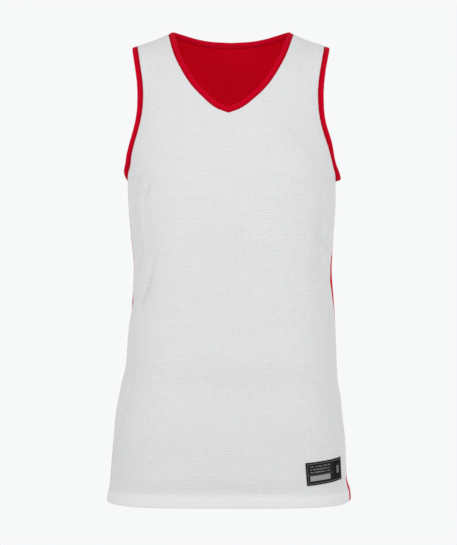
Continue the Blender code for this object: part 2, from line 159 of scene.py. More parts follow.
# Where the red stripe starts, behind (+) or ahead (-) of the side line.
stripeEdge = table("height* right* left*", [
    (-706.3, -7, -41),
    (-695, -9, -38.5),
    (-680, -11.5, -30),
    (-662, -13, -16.5),
    (-640, -14, -7),
    (-610, -12, -3),
    (-550, -10.5, -2),
    (-480, -10.5, -5),
    (-445, -11, -9.5),
    (-413, -12, -21.5),
    (-380, -13, -33.5),
    (-350, -14, -32),
    (-320, -14, -15),
    (-290, -12.5, -6.5),
    (-250, -10.5, -5),
    (-216.4, -9, -6.5),
])

# Soft troughs (-) and ridges (+): where each lies, in degrees round the body from the front
# towards the wearer's left and in height, its half length, half width, tilt and rise.
folds = table("around height* length* width* tilt rise*", [
    # drag lines under the wearer's right arm
    (-65, -227, 24, 5.5, 50, -5),
    (-57.5, -232, 18, 3.8, 38, 3.1),
    (-53, -236, 18, 3.8, 58, -3.6),
    (-74, -268, 60, 15, 86, -4.8),
    (-60, -285, 55, 7.5, 88, 1.7),
    # the long ones down that side to the waist and the hip
    (-71.5, -354, 50, 5, 55, -6.7),
    (-61.5, -374, 32, 5.6, 57, 3.6),
    (-53, -357, 22, 3.6, 76, -2.9),
    (-60.5, -399, 36, 4.2, 61, -5.5),
    (-76, -462, 50, 10, 92, -5.3),
    (-61, -470, 50, 8, 92, 1.4),
    (-67, -512, 24, 6.2, 44, -3.6),
    (-70, -570, 50, 12, 70, -4.1),
    (-56, -600, 60, 16, 80, 1.4),
    # under the wearer's left arm, waist and hip
    (70, -240, 45, 12, -80, -3.4),
    (61, -300, 60, 12, 94, -4.6),
    (49, -318, 60, 11, 94, 1.6),
    (68, -318, 30, 5, -27, -3),
    (70, -380, 26, 7, 30, -2),
    (71, -452, 48, 9.5, 97, -3.8),
    (59, -458, 50, 8.5, 95, 1.1),
    (72, -500, 26, 7.8, -46, -2),
    (73, -580, 55, 12, 98, -2.8),
    # across the belly and above the hem
    (0, -494, 170, 25, 1, 1.4),
    (-3, -530, 190, 26, -2, -2.6),
    (6, -600, 170, 30, 2, 1.2),
    (-4, -683, 150, 12, 0, -4),
    (30, -440, 90, 18, -24, -0.8),
    (-28, -420, 90, 20, 26, -0.8),
    # from the bands: the point of the V and the straps
    (-12, -165, 45, 11, 62, -0.9),
    (10, -168, 50, 11, -66, -0.9),
    (-40, -150, 45, 10, 40, -1.3),
    (41, -155, 45, 11, -44, -1.1),
    # the small of the back, and the drag lines above it
    (180, -390, 120, 24, 0, -5.8),
    (164, -425, 85, 15, 14, 3.2),
    (150, -446, 80, 16, 22, -4.9),
    (-164, -352, 85, 14, 10, 2.6),
    (-150, -450, 80, 17, -20, -5.2),
    (-168, -470, 70, 13, -8, 2.6),
    (124, -300, 70, 9, 58, -5.5),
    (132, -292, 60, 8.5, 60, 3.2),
    (118, -352, 45, 7, 52, -3.8),
    (-124, -312, 75, 9.2, -56, -5.8),
    (-133, -302, 60, 8.5, -58, 3.2),
    (-117, -368, 45, 7, -50, -3.8),
    (112, -245, 40, 6.5, 66, -4.3),
    (-112, -250, 40, 6.5, -64, -4.3),
    (140, -170, 80, 14, 72, -2),
    (-142, -160, 80, 14, -70, -2),
    # the back's loose fall to the hem
    (168, -600, 110, 22, 86, 6.7),
    (-174, -580, 100, 18, 94, -4.3),
    (-154, -610, 110, 22, 96, 5.8),
    (148, -590, 90, 16, 82, -4.1),
    (128, -560, 90, 16, 84, 3.8),
    (-132, -570, 90, 16, 98, -4.1),
    (110, -500, 80, 11, 76, -4.3),
    (-108, -470, 80, 11, -78, -4.3),
    (180, -683, 150, 12, 0, -4.4),
])
foldRadius = 0.150  # turns degrees round the body into metres of cloth


def smooth(columns, value, at):
    # A column's value at a place: cubics through the rows, with slopes that never overshoot.
    x, y = next(iter(columns.values())), columns[value]
    step = np.diff(x)
    slope = np.diff(y) / step
    same = slope[:-1] * slope[1:] > 0
    weightA, weightB = 2 * step[1:] + step[:-1], step[1:] + 2 * step[:-1]
    below, above = np.where(same, slope[:-1], 1.0), np.where(same, slope[1:], 1.0)
    mean = (weightA + weightB) / (weightA / below + weightB / above)
    tangent = np.concatenate([slope[:1], np.where(same, mean, 0.0), slope[-1:]])
    at = np.clip(at, x[0], x[-1])
    place = np.clip(np.searchsorted(x, at) - 1, 0, len(step) - 1)
    t = (at - x[place]) / step[place]
    ends = y[place] * (1 + 2 * t) * (1 - t) ** 2 + y[place + 1] * t**2 * (3 - 2 * t)
    slopes = tangent[place] * t * (1 - t) ** 2 + tangent[place + 1] * t**2 * (t - 1)
    return ends + step[place] * slopes


def ease(t):
    # From 0 to 1 with no corner at either end: 3t² - 2t³.
    t = np.clip(t, 0.0, 1.0)
    return t * t * (3 - 2 * t)


def unit(vectors):
    return vectors / np.maximum(np.linalg.norm(vectors, axis=-1, keepdims=True), 1e-12)


def gridNormals(points):
    # Square to the rows and columns of a grid of points.
    return unit(np.cross(np.gradient(points, axis=1), np.gradient(points, axis=0)))


def shoulderLine(x):
    # Height of the shoulder line: a low arch inside, then straight, with a little sag.
    x = np.abs(x)
    arch = np.clip(cut["shoulderStart"] - x, 0.0, None) ** 2 / (2 * cut["shoulderStart"])
    strap = (x - cut["neckPointReach"]) / (cut["shoulderEnd"] - cut["neckPointReach"])
    sag = cut["shoulderSag"] * np.sin(math.pi * np.clip(strap, 0.0, 1.0)) ** 2
    return cut["neckPoint"] + (cut["neckPointReach"] - x - arch) * cut["shoulderSlope"] - sag


def shareUp(x, height):
    # 0 at the underarm, 1 at the shoulder line.
    return (height - cut["underarm"]) / (shoulderLine(x) - cut["underarm"])


def depthRound(turn, fullness):
    # Depth of a ring against its full depth: cosine of the turn, made fuller by its sine squared.
    return np.cos(turn) * (1 + fullness * np.sin(turn) ** 2)


def turnAt(depth, fullDepth, fullness):
    # The turn at which a ring has come back to a depth, closed in on from an ellipse's.
    turn = np.arccos(np.clip(depth / (fullDepth * (1 + fullness)), -1.0, 1.0))
    for attempt in range(20):
        turn = turn - (depth / fullDepth - depthRound(turn, fullness)) / (1 + fullness)
    return turn


def foldLift(around, height):
    # Sum of the folds at each point: a bell along each fold times a bell across it.
    away = np.degrees(around)[..., None] - folds["around"]
    away = np.radians((away + 180.0) % 360.0 - 180.0) * foldRadius
    up = height[..., None] - folds["height"]
    c, s = np.cos(np.radians(folds["tilt"])), np.sin(np.radians(folds["tilt"]))
    along, across = away * c + up * s, up * c - away * s
    bells = np.exp(-(along / folds["length"]) ** 2 - (across / folds["width"]) ** 2)
    return np.sum(folds["rise"] * bells, axis=-1)


def onCloth(x, y, z, around, reach, depth, sign, facing):
    # The points of one ring: moved by the folds, square to the ring, and up by the rise of the
    # hem, which is a bell round the body times a fall with height.
    lift = foldLift(around, z)
    awayX, awayY = x / reach**2, np.maximum(y, 0.0) / np.maximum(depth, 0.02) ** 2
    size = np.maximum(np.hypot(awayX, awayY), 1e-9)
    away = (np.degrees(around) % 360.0 - cut["hemRiseAt"]) / cut["hemRiseWide"]
    rise = cut["hemRise"] * np.exp(-(away**2) - (z - cut["hem"]) / cut["hemRiseUp"])
    return np.stack([sign * (x + lift * awayX / size), facing * (y + lift * awayY / size),
                     z + rise], axis=-1)


def bodyHeights():
    # Heights of the rows below the armhole, close together at the hem's fold and at its top.
    look = clothLook
    first = look["hemDepth"] + look["hemClear"]
    top = cut["underarm"] - cut["hem"] - look["topClear"]
    return cut["hem"] + np.concatenate([
        np.array([0.0, 0.25, 0.55, 1.0]) * look["hemRound"],
        np.linspace(look["hemRound"] * 2, look["hemDepth"] - look["hemClear"], 6),
        look["hemDepth"] + look["hemStep"] * np.linspace(-1.2, 1.2, 6),
        np.linspace(first, top, int((top - first) / look["rowPitch"]))])


def panelSteps():
    # Shares of the way from the centre to the side, closer together at both edges.
    few, many = clothLook["columns"]
    return np.concatenate([
        [0.0, 0.004, 0.010], np.linspace(0.018, clothLook["sideFrom"], few),
        np.linspace(clothLook["sideFrom"], 0.982, many)[1:], [0.990, 0.996, 1.0]])


bodyRows = bodyHeights()
armNames = {1: "left", -1: "right"}


def halfPanel(side, sign):
    # Half a panel as a grid: rows from the hem to the shoulder line, columns from the centre to
    # the side. x is the reach times the sine of the turn, and the depth falls from the
    # centre's to the edge's as the ring's own curve does. Above the underarm each row is the
    # same share of the way up to the shoulder line all along.
    facing = -1 if side == "front" else 1
    columns = side + "Depth", armNames[sign] + "Reach", "fullness"
    underarm, armDepth = cut["underarm"], cut[side + "Armhole"]
    chest, chestReach, chestFullness = (
        float(smooth(bodyRings, name, underarm)) for name in columns)
    centreShare = float(shareUp(0.0, cut[side + "Neck"]))

    def sideDepth(height):
        # where the panel meets the stripe, with half a gap left between them
        start = smooth(stripeEdge, armNames[sign], height)
        return (start + cut["stripeWidth"] if facing > 0 else -start) + cut["gap"] / 2

    # the body, up to the underarm
    depth, reach, fullness = (smooth(bodyRings, name, bodyRows) for name in columns)
    edge = sideDepth(bodyRows)
    last = turnAt(edge, depth, fullness)
    none = np.zeros_like(last)
    body = depth, fullness, edge, last, reach * np.sin(last), none, none, none, bodyRows

    # the yoke, whose lowest rows are eased into the body's
    edge = float(sideDepth(underarm))
    first = (1 - math.sqrt(1 - (edge / armDepth) ** 2)) / 2
    t = np.linspace(0.0, 1.0, clothLook["yokeRows"])
    share = first + (1 - first) * (1 - (1 - t) ** clothLook["yokeBunch"])
    nearest = int(np.argmin(np.abs(share - centreShare)))
    share[nearest] = centreShare
    depth = chest * (1 - share**2) ** (cut["roll"] / 2)
    fullness = chestFullness + (cut["yokeFullness"] - chestFullness) * ease(
        share / cut["yokeStart"])
    last = np.radians(smooth(armholeSeam, "turn", share))
    reach = smooth(armholeSeam, side, share)
    reach = reach + (chestReach - armholeSeam[side][0]) * (1 - share) ** 2
    settle = ease((cut["yokeSettle"] - share) / (cut["yokeSettle"] - first))
    firstLast = float(turnAt(edge, chest, chestFullness))
    reach += (chestReach * math.sin(firstLast) - reach[0]) * settle
    last += (firstLast - last[0]) * settle
    edge = 2 * armDepth * np.sqrt(np.maximum(share * (1 - share), 0.0))
    seam = neckSeam[side]["height"]
    seam = np.linspace(seam[0], seam[-1], 200)
    seamReach = smooth(neckSeam[side], "reach", seam)
    neck = np.interp(share, shareUp(seamReach, seam), seamReach)
    neck = np.where(share > centreShare, neck, 0.0)
    start = np.arcsin(neck * np.sin(last) / reach)
    yoke = depth, fullness, edge, last, reach, start, neck, share, np.full(len(share), underarm)

    # both as whole arrays, one row each
    depth, fullness, edge, last, reach, start, neck, share, level = (
        np.concatenate(pair)[:, None] for pair in zip(body, yoke))
    turns = start + (last - start) * panelSteps()
    x = reach * np.sin(turns) / np.sin(last)
    lastRound = depthRound(last, fullness)
    y = edge + (depth - edge) * (depthRound(turns, fullness) - lastRound) / (1 - lastRound)
    z = level + share * (shoulderLine(x) - underarm)
    around = sign * (turns if facing < 0 else math.pi - turns)
    points = onCloth(x, y, z, around, reach, depth, sign, facing)
    if facing < 0:
        up = np.minimum(share / (2 * centreShare), cut["leanHold"])
        leanUp = np.sin(math.pi * up) ** 2
        points[..., 0] += cut["vLean"] * leanUp * (1 - share**6) * (
            1 - cut["edgeLean"] * (x / reach) ** 2)
    points[-1, :, 1] = cut["gap"] / 2 * facing

    # the flat cloth: lengths along the rows from the centre, and up the columns from the hem
    alongRows = np.linalg.norm(np.diff(points, axis=1), axis=-1).cumsum(1)
    inner = np.concatenate([np.zeros((len(points), 1)), alongRows], axis=1)
    upColumns = np.linalg.norm(np.diff(points[..., 1:], axis=0), axis=-1).cumsum(0)
    up = np.concatenate([np.zeros((1, x.shape[1])), upColumns])
    return {"points": points, "normals": gridNormals(points) * -facing * sign,
            "uv": np.stack([sign * (neck + inner), up], axis=-1), "level": z, "sign": sign,
            "inner": inner, "edge": inner[:, -1:] - inner, "neckRow": len(bodyRows) + nearest}


def panelHalves(side):
    # Both halves of a panel, with one normal for the column that they share.
    halves = {sign: halfPanel(side, sign) for sign in (1, -1)}
    shared = slice(0, halves[1]["neckRow"] + 1), 0
    middle = unit(halves[1]["normals"][shared] + halves[-1]["normals"][shared])
    for half in halves.values():
        half["normals"][shared] = middle
    return halves


def stripeGrid(sign, shares):
    # Points over the stripe's place, a share of its width behind its front edge. The top row
    # rises to the armhole's own curve, which is an ellipse's.
    heights = np.append(bodyRows, cut["underarm"])[:, None]
    y = smooth(stripeEdge, armNames[sign], heights) + shares * cut["stripeWidth"]
    heights = heights + np.zeros_like(y)
    front = y < 0
    depth = np.where(front, smooth(bodyRings, "frontDepth", heights),
                     smooth(bodyRings, "backDepth", heights))
    reach = smooth(bodyRings, armNames[sign] + "Reach", heights)
    turn = turnAt(np.abs(y), depth, smooth(bodyRings, "fullness", heights))
    x = reach * np.sin(turn)
    armDepth = np.where(front, cut["frontArmhole"], cut["backArmhole"])
    rise = (1 - np.sqrt(1 - (y / armDepth) ** 2)) / 2
    near = np.clip((heights - cut["underarm"]) / cut["stripeCurve"] + 1, 0.0, 1.0) ** 2
    z = heights + near * rise * (shoulderLine(x) - cut["underarm"])
    around = sign * np.where(front, turn, math.pi - turn)
    points = onCloth(x, np.abs(y), z, around, reach, depth, sign, np.where(front, -1, 1))
    normals = gridNormals(points)
    across = shares * cut["stripeWidth"] + np.zeros_like(y)
    return {"points": points, "normals": normals * np.sign(normals[..., :1]) * sign,
            "uv": np.stack([across, heights - cut["hem"]], axis=-1)}


panels = {side: panelHalves(side) for side in ("front", "back")}
print("Surface worked out:", panels["front"][1]["points"].shape[:2], "points for each half panel")


def numbered(grids):
    # Point numbers for each grid, running on from one grid to the next.
    first, numbers = 0, []
    for grid in grids:
        shape = grid["points"].shape[:2]
        numbers.append(first + np.arange(shape[0] * shape[1]).reshape(shape))
        first += numbers[-1].size
    return numbers


def cells(numbers, turned=False):
    # Four corners of each cell of a grid, anticlockwise where it runs to the right and up.
    corners = numbers[:-1, :-1], numbers[:-1, 1:], numbers[1:, 1:], numbers[1:, :-1]
    return np.stack(corners, axis=-1).reshape(-1, 4)[:, ::-1 if turned else 1]


def makePiece(name, points, faces, uv, material, node=None, sharp=50.0):
    # One object at the origin. A triangle is a quad whose last corner is repeated. The flat
    # lengths are per point, or per corner of each face. The faces are turned out where the
    # volume that they enclose is negative.
    corners = points[faces]
    pairs = np.cross(corners[:, 1], corners[:, 2]) + np.cross(corners[:, 2], corners[:, 3])
    turn = -1 if np.sum(corners[:, 0] * pairs) < 0 else 1
    cornerUv = (uv[faces] if uv.ndim == 2 else uv)[:, ::turn]
    faces = faces[:, ::turn]
    real = faces != np.roll(faces, 1, axis=1)
    count = real.sum(axis=1)
    mesh = bpy.data.meshes.new(name)
    mesh.vertices.add(len(points))
    mesh.vertices.foreach_set("co", points.astype(np.float32).ravel())
    mesh.loops.add(int(count.sum()))
    mesh.loops.foreach_set("vertex_index", faces[real].astype(np.int32))
    mesh.polygons.add(len(faces))
    mesh.polygons.foreach_set("loop_start", (np.cumsum(count) - count).astype(np.int32))
    layer = mesh.uv_layers.new(name="cloth")
    layer.data.foreach_set("uv", cornerUv[real].astype(np.float32).ravel())
    mesh.update(calc_edges=True)
    mesh.validate()
    mesh.shade_smooth()
    mesh.set_sharp_from_angle(angle=math.radians(sharp))
    mesh.materials.append(material)
    piece = bpy.data.objects.new(name, mesh)
    bpy.context.scene.collection.objects.link(piece)
    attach(piece, "root")
    if node:
        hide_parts(node)
    return piece


def makeWall(name, grids, low, high, material, node, quads=None, drop=0.0):
    # A closed wall over grids of points: a sheet moved out by high, a sheet moved out by low,
    # and a rim along every edge that only one quad has. high may be a list, one per grid, and
    # drop lowers the bottom row.
    sheets = []
    quads = np.concatenate(quads or [cells(part) for part in numbered(grids)])
    for out in (high, low):
        for i, grid in enumerate(grids):
            away = out[i][..., None] if isinstance(out, list) else out
            sheet = grid["points"] + grid["normals"] * away
            sheet[0, :, 2] -= drop
            sheets.append(sheet.reshape(-1, 3))
    points = np.concatenate(sheets)
    uv = np.concatenate([grid["uv"].reshape(-1, 2) for grid in grids] * 2)
    count = len(points) // 2
    ends = np.stack([quads, np.roll(quads, -1, axis=1)], axis=-1).reshape(-1, 2)
    place, uses = np.unique(ends.min(1) * count + ends.max(1), return_index=True,
                            return_counts=True)[1:]
    a, b = ends[place[uses == 1]].T
    rim = np.stack([b, a, a + count, b + count], axis=-1)
    faces = np.concatenate([quads, quads[:, ::-1] + count, rim])
    used, faces = np.unique(faces, return_inverse=True)
    return makePiece(name, points[used], faces.reshape(-1, 4), uv[used], material, node)


def facesInwards(side, sign):
    # Whether a grid of that half, running out from the centre and up, would face inwards.
    return (sign > 0) != (side == "front")


def panelQuads(side, numbers):
    # Both halves face outwards, and share the middle column up to the neck.
    neck = panels[side][1]["neckRow"] + 1
    numbers[1][:neck, 0] = numbers[0][:neck, 0]
    return [cells(part, facesInwards(side, sign)) for part, sign in zip(numbers, (1, -1))]


def thinned(distance):
    # Share of its thickness that a layer keeps at a distance from a seam.
    return 1 - clothLook["seamDip"] * (1 - ease(distance / clothLook["seamDipWidth"]))


def wallThickness(half):
    # Thickness of the outer layer: more where the hem is turned up, rounded at its fold, rippled
    # along its stitching and thinner at every seam.
    look = clothLook
    up = half["level"] - cut["hem"]
    hem = ease((look["hemDepth"] + look["hemStep"] - up) / (2 * look["hemStep"]))
    wall = look["cloth"] + (look["hemCloth"] - look["cloth"]) * hem
    fold = np.sqrt(1 - (1 - np.clip(up / look["hemRound"], 0.0, 1.0)) ** 2)
    wall = wall * (look["hemEdge"] + (1 - look["hemEdge"]) * fold)
    u = 2 * math.pi * half["uv"][..., 0] / look["puckerPitch"]
    near = np.exp(-((up - look["hemDepth"]) / look["puckerWide"]) ** 2)
    wall = wall + look["pucker"] * (np.sin(u) + 0.6 * np.sin(1.73 * u + 1.0)) * near
    body = np.arange(len(up))[:, None] <= half["neckRow"]
    inner = np.where(body, 1.0, half["inner"])
    fromTop = np.abs(half["points"][..., 1]) + 10.0 * (up < 0.5)
    return wall * thinned(np.minimum(np.minimum(half["edge"], inner), fromTop))


def whitePanel(side):
    # The white layer: it starts half a gap outside the middle surface.
    grids, gap = list(panels[side].values()), cut["gap"] / 2
    return makeWall(side + "Panel", grids, gap, [gap + wallThickness(half) for half in grids],
                    finishes["whiteMesh"], side + "_panel",
                    panelQuads(side, numbered(grids)))


def redLining(side):
    # The red layer: half a gap inside the middle surface. It goes on under each stripe to the
    # stripe's middle, as a strip of columns that shares the panel's side column.
    halves, rows = list(panels[side].values()), len(bodyRows) + 1
    shares = np.array([0.03, 0.16, 0.33, 0.5 - cut["gap"] / cut["stripeWidth"]])
    shares = shares if side == "front" else 1 - shares
    strips = [stripeGrid(half["sign"], shares) for half in halves]
    numbers = numbered(halves + strips)
    quads = panelQuads(side, numbers[:2])
    for half, strip, ownNumbers, stripNumbers in zip(halves, strips, numbers, numbers[2:]):
        steps = half["sign"] * 0.005 * np.arange(1, len(shares) + 1)
        strip["uv"] = half["uv"][:rows, -1:] + np.stack([steps, 0 * steps], axis=-1)
        quads.append(cells(np.concatenate([ownNumbers[:rows, -1:], stripNumbers], axis=1),
                           facesInwards(side, half["sign"])))
    gap = cut["gap"] / 2
    return makeWall(side + "Lining", halves + strips, -gap - clothLook["cloth"], -gap,
                    finishes["redMesh"], side + "_lining", quads,
                    clothLook["liningDrop"])


def sideStripe(sign):
    # The stripe between the white panels, a little domed between its two seams.
    gap = cut["gap"] / 2
    inset = gap / cut["stripeWidth"]
    shares = np.array([0.0, 0.03, 0.09, 0.2, 0.35, 0.5, 0.65, 0.8, 0.91, 0.97, 1.0])
    grid = stripeGrid(sign, inset + shares * (1 - 2 * inset))
    dome = clothLook["cloth"] * thinned(np.minimum(shares, 1 - shares) * cut["stripeWidth"])
    stripes[sign] = grid
    return makeWall("sideStripe" + armNames[sign].title(), [grid], gap, [gap + dome],
                    finishes["redMesh"], "side_stripe_" + armNames[sign])


# Shader helpers, and the effects that several cloths share.
class Wire:
    # A shader socket that can be used in a sum: each sign adds a Math node.
    def __init__(self, socket):
        self.socket, self.tree = socket, socket.id_data

    def maths(self, operation, *others):
        values = dict(enumerate((self, *others)))
        return Wire(addNode(self.tree, "ShaderNodeMath", values, operation=operation).outputs[0])

    def __add__(self, other):
        return self.maths("ADD", other)

    def __sub__(self, other):
        return self.maths("SUBTRACT", other)

    def __rsub__(self, other):
        return self * -1.0 + other

    def __mul__(self, other):
        return self.maths("MULTIPLY", other)

    def __truediv__(self, other):
        return self.maths("DIVIDE", other)


def setInputs(node, inputs):
    for key, value in inputs.items():
        if isinstance(value, Wire):
            value.tree.links.new(value.socket, node.inputs[key])
        else:
            node.inputs[key].default_value = value


def addNode(tree, kind, inputs=None, **settings):
    node = tree.nodes.new(kind)
    for name, value in settings.items():
        setattr(node, name, value)
    setInputs(node, inputs or {})
    return node


def apart(flat):
    # How far across the cloth, and how far up.
    outputs = addNode(flat.tree, "ShaderNodeSeparateXYZ", {0: flat}).outputs
    return Wire(outputs[0]), Wire(outputs[1])


def noise(flat, scale, detail):
    inputs = {"Vector": flat, "Scale": scale, "Detail": detail}
    return Wire(addNode(flat.tree, "ShaderNodeTexNoise", inputs).outputs[0])


def easedStep(value, start, end):
    # From 0 at the start to 1 at the end.
    inputs = {"Value": value, "From Min": start, "From Max": end}
    return Wire(addNode(value.tree, "ShaderNodeMapRange", inputs,
                        interpolation_type="SMOOTHSTEP").outputs[0])


def vectorMaths(operation, vector, inputs):
    node = addNode(vector.tree, "ShaderNodeVectorMath", {0: vector}, operation=operation)
    setInputs(node, inputs)
    return Wire(node.outputs[0])


def mixColours(factor, first, second):
    colours = [value if isinstance(value, Wire) else (*value, 1.0) for value in (first, second)]
    node = addNode(factor.tree, "ShaderNodeMix", data_type="RGBA")
    setInputs(node, {0: factor, 6: colours[0], 7: colours[1]})
    return Wire(node.outputs[2])


def bumpOf(height, distance, strength, under=None):
    inputs = {"Height": height, "Distance": distance, "Strength": strength}
    if under:
        inputs["Normal"] = under
    return Wire(addNode(height.tree, "ShaderNodeBump", inputs).outputs[0])


effects = {}


def newEffect(name, work, **inputs):
    # A node group whose inputs are the cloth's flat lengths and named values, and whose outputs
    # are what the work hands back.
    tree = bpy.data.node_groups.new(name, "ShaderNodeTree")
    tree.interface.new_socket("Flat", in_out="INPUT", socket_type="NodeSocketVector")
    for label, value in inputs.items():
        socket = tree.interface.new_socket(label, in_out="INPUT", socket_type="NodeSocketFloat")
        socket.default_value = value
    source = tree.nodes.new("NodeGroupInput").outputs
    found = work(*(Wire(socket) for socket in source[:len(inputs) + 1]))
    for label in found:
        tree.interface.new_socket(label, in_out="OUTPUT", socket_type="NodeSocketFloat")
    setInputs(tree.nodes.new("NodeGroupOutput"), found)
    effects[name] = tree


def placeEffect(name, flat, **inputs):
    node = flat.tree.nodes.new("ShaderNodeGroup")
    node.node_tree = effects[name]
    setInputs(node, {"Flat": flat, **inputs})
    return {socket.name: Wire(socket) for socket in node.outputs}


def meshDimples(flat, acrossPitch, upPitch, size):
    # Rows of small oval dimples: the distance from the middle of each cell, eased at the rim. The
    # same mask, with the valleys between the columns, sets where the colour is darkened as painted
    # shade.
    across, up = apart(flat)
    sway = noise(flat, 60.0, 1.0) * 0.3 - 0.15
    x = (across / acrossPitch + sway).maths("FRACT") - 0.5
    y = ((up / upPitch + sway).maths("FRACT") - 0.5) * 0.85
    far = (x * x + y * y).maths("SQRT") / size
    valley = easedStep(x.maths("ABSOLUTE"), 0.30, 0.04)
    dimpleShade = easedStep(far, 0.75, 0.3) * 0.86 + valley * 0.14
    dimpleShade = dimpleShade * (noise(flat, 170.0, 2.0) * 2.2 - 0.15)
    return {"Dimple": dimpleShade, "Height": 1.0 - dimpleShade}


def knitLoops(flat, ribPitch, loopPitch):
    # Fine knitting: ribs up the cloth whose sides wave in and out with each loop.
    across, up = apart(flat)
    wave = (up / loopPitch * (2 * math.pi)).maths("SINE")
    rib = (across / ribPitch * (2 * math.pi) + wave * 0.7).maths("COSINE") * 0.5 + 0.5
    return {"Height": rib + wave * 0.12, "Groove": 1.0 - rib}


def yarnTone(flat, drift, fluff):
    # Slow drift of tone over the cloth and fine fluff on the yarn, as one factor near 1, with
    # yarns a little lighter or darker along their whole length.
    slow = noise(flat, 14.0, 3.0) + (noise(flat, 240.0, 1.0) - 0.5) * 1.1
    for stretch in ((14.0, 420.0, 1.0), (420.0, 14.0, 1.0)):
        streak = noise(vectorMaths("MULTIPLY", flat, {1: stretch}), 1.0, 1.0)
        slow = slow + (streak - 0.5) * 0.8
    fine = noise(flat, 1500.0, 2.0)
    return {"Tone": (slow - 0.5) * drift + (fine - 0.5) * fluff + 1.0}


def boxMask(flat, left, right, bottom, top, soft):
    # 1 inside a box on the flat cloth: the product of its four clamped steps.
    across, up = apart(flat)
    mask = None
    for high, low in ((across, left), (right, across), (up, bottom), (top, up)):
        inside = Wire(addNode(flat.tree, "ShaderNodeClamp",
                              {0: (high - low) / soft + 0.5}).outputs[0])
        mask = mask * inside if mask else inside
    return {"Mask": mask}


newEffect("meshDimples", meshDimples, Across=0.0031, Up=0.0040, Size=0.55)
newEffect("knitLoops", knitLoops, Rib=0.0009, Loop=0.0007)
newEffect("yarnTone", yarnTone, Drift=0.03, Fluff=0.04)
newEffect("boxMask", boxMask, Left=0.0, Right=1.0, Bottom=0.0, Top=1.0, Soft=0.0002)
print("Shared effects ready:", ", ".join(effects))


def newCloth(name, roughness, sheen, sheenTint, specular):
    # A material with its shader's even values set, and the piece's flat lengths as a vector.
    material = bpy.data.materials.new(name)
    material.use_nodes = True
    tree = material.node_tree
    shader = tree.nodes["Principled BSDF"]
    setInputs(shader, {
        "Roughness": roughness, "Sheen Weight": sheen, "Sheen Tint": (*sheenTint, 1.0),
        "Sheen Roughness": 0.5, "Specular IOR Level": specular})
    return material, shader, Wire(addNode(tree, "ShaderNodeUVMap", uv_map="cloth").outputs[0])


def dress(shader, flat, colour, normal, tone=None):
    # The colour is multiplied by a tone that changes over the cloth.
    if tone:
        tone = placeEffect("yarnTone", flat, **tone)["Tone"]
        colour = vectorMaths("SCALE", colour, {"Scale": tone})
    setInputs(shader, {"Base Color": colour, "Normal": normal})


# Dimpled mesh, in two colours. A surface is roughness, sheen, the sheen's tint and specular.
meshLook = {
    "pitch": {"Across": 0.00306, "Up": 0.00398, "Size": 0.55},
    "depth": 0.00035,
    "knitDepth": 0.00006,
    "bump": 0.6,
    "hemStep": (0.0014, -0.0018),  # from above the hem's top to below it
}

whiteLook = {
    "surface": (0.78, 0.25, (1.0, 1.0, 1.0), 0.3),
    "tone": {"Drift": 0.05, "Fluff": 0.03},
    "yarn": (0.822, 0.822, 0.825),
    # painted shade in the dimples
    "dimpleShade": (0.750, 0.752, 0.756),
    "hem": (0.858, 0.858, 0.860),
}

redLook = {
    "surface": (0.72, 0.15, (1.0, 0.01, 0.03), 0.02),
    "tone": {"Drift": 0.06, "Fluff": 0.06},
    "yarn": (0.640, 0.0006, 0.0120),
    # painted shade in the dimples
    "dimpleShade": (0.590, 0.0006, 0.0108),
}


def dimpledMesh(name, look):
    # Mesh with rows of dimples, painted darker in them as shade, and a plain close knit where the
    # white hem is turned up.
    mesh = meshLook
    material, shader, flat = newCloth(name, *look["surface"])
    dimples = placeEffect("meshDimples", flat, **mesh["pitch"])
    colour, height = mixColours(dimples["Dimple"], look["yarn"], look["dimpleShade"]), dimples["Height"]
    if "hem" in look:
        start, end = (clothLook["hemDepth"] + step for step in mesh["hemStep"])
        hem = easedStep(apart(flat)[1], start, end)
        colour, height = mixColours(hem, colour, look["hem"]), height * (1.0 - hem)
    holes = bumpOf(height, mesh["depth"], mesh["bump"])
    knit = placeEffect("knitLoops", flat)["Height"]
    dress(shader, flat, colour, bumpOf(knit, mesh["knitDepth"], mesh["bump"], holes), look["tone"])
    return material


bindingLook = {
    "surface": (0.62, 0.2, (1.0, 0.01, 0.04), 0.02),
    "tone": {"Drift": 0.08, "Fluff": 0.06},
    "knit": {"Rib": 0.0010, "Loop": 0.0008},
    "yarn": (0.645, 0.0008, 0.0200),
    # painted shade in the grooves between the ribs
    "grooveShade": (0.520, 0.0005, 0.0125),
    "grooveShare": 0.45,
    # painted shade on the band's slope down to the seam
    "base": (0.470, 0.0005, 0.0120),      # between the seam and the sewn line
    "baseStep": (0.0034, 0.0024),
    "baseShare": 0.75,
    # painted shade in the crease of the sewn line and in the groove where the band is joined
    "creaseShade": (0.330, 0.0003, 0.0070),    # in the sewn line, and where the band is joined
    "sewnLine": 0.0028,
    "sewnStep": (0.0006, 0.0001),
    "sewnShare": 0.55,
    "joinStep": (0.0012, 0.0004),
    "joinShare": 0.75,
    "depth": 0.00010,
    "bump": 0.7,
}


def binding():
    # Folded knit binding: ribs across the band, with painted shade in the grooves between them, on
    # the strip between the seam and the sewn line, and deeper in the sewn line and where the band
    # is joined.
    look = bindingLook
    material, shader, flat = newCloth("redBand", *look["surface"])
    knit = placeEffect("knitLoops", flat, **look["knit"])
    along, across = apart(flat)
    base = easedStep(across, *look["baseStep"]) * look["baseShare"]
    sewn = easedStep((across - look["sewnLine"]).maths("ABSOLUTE"), *look["sewnStep"])
    joined = easedStep(along.maths("ABSOLUTE"), *look["joinStep"]) * look["joinShare"]
    creaseShade = (sewn * look["sewnShare"]).maths("MAXIMUM", joined)
    colour = mixColours(knit["Groove"] * look["grooveShare"], look["yarn"], look["grooveShade"])
    colour = mixColours(creaseShade, mixColours(base, colour, look["base"]), look["creaseShade"])
    dress(shader, flat, colour, bumpOf(knit["Height"], look["depth"], look["bump"]), look["tone"])
    return material


# Threads: colour, and how much they shine.
threadLook = {
    "whiteThread": ((0.82, 0.82, 0.825), 0.4),
    "redThread": ((0.450, 0.0010, 0.0120), 0.1),
    "blackThread": ((0.006, 0.006, 0.0065), 0.1),
}


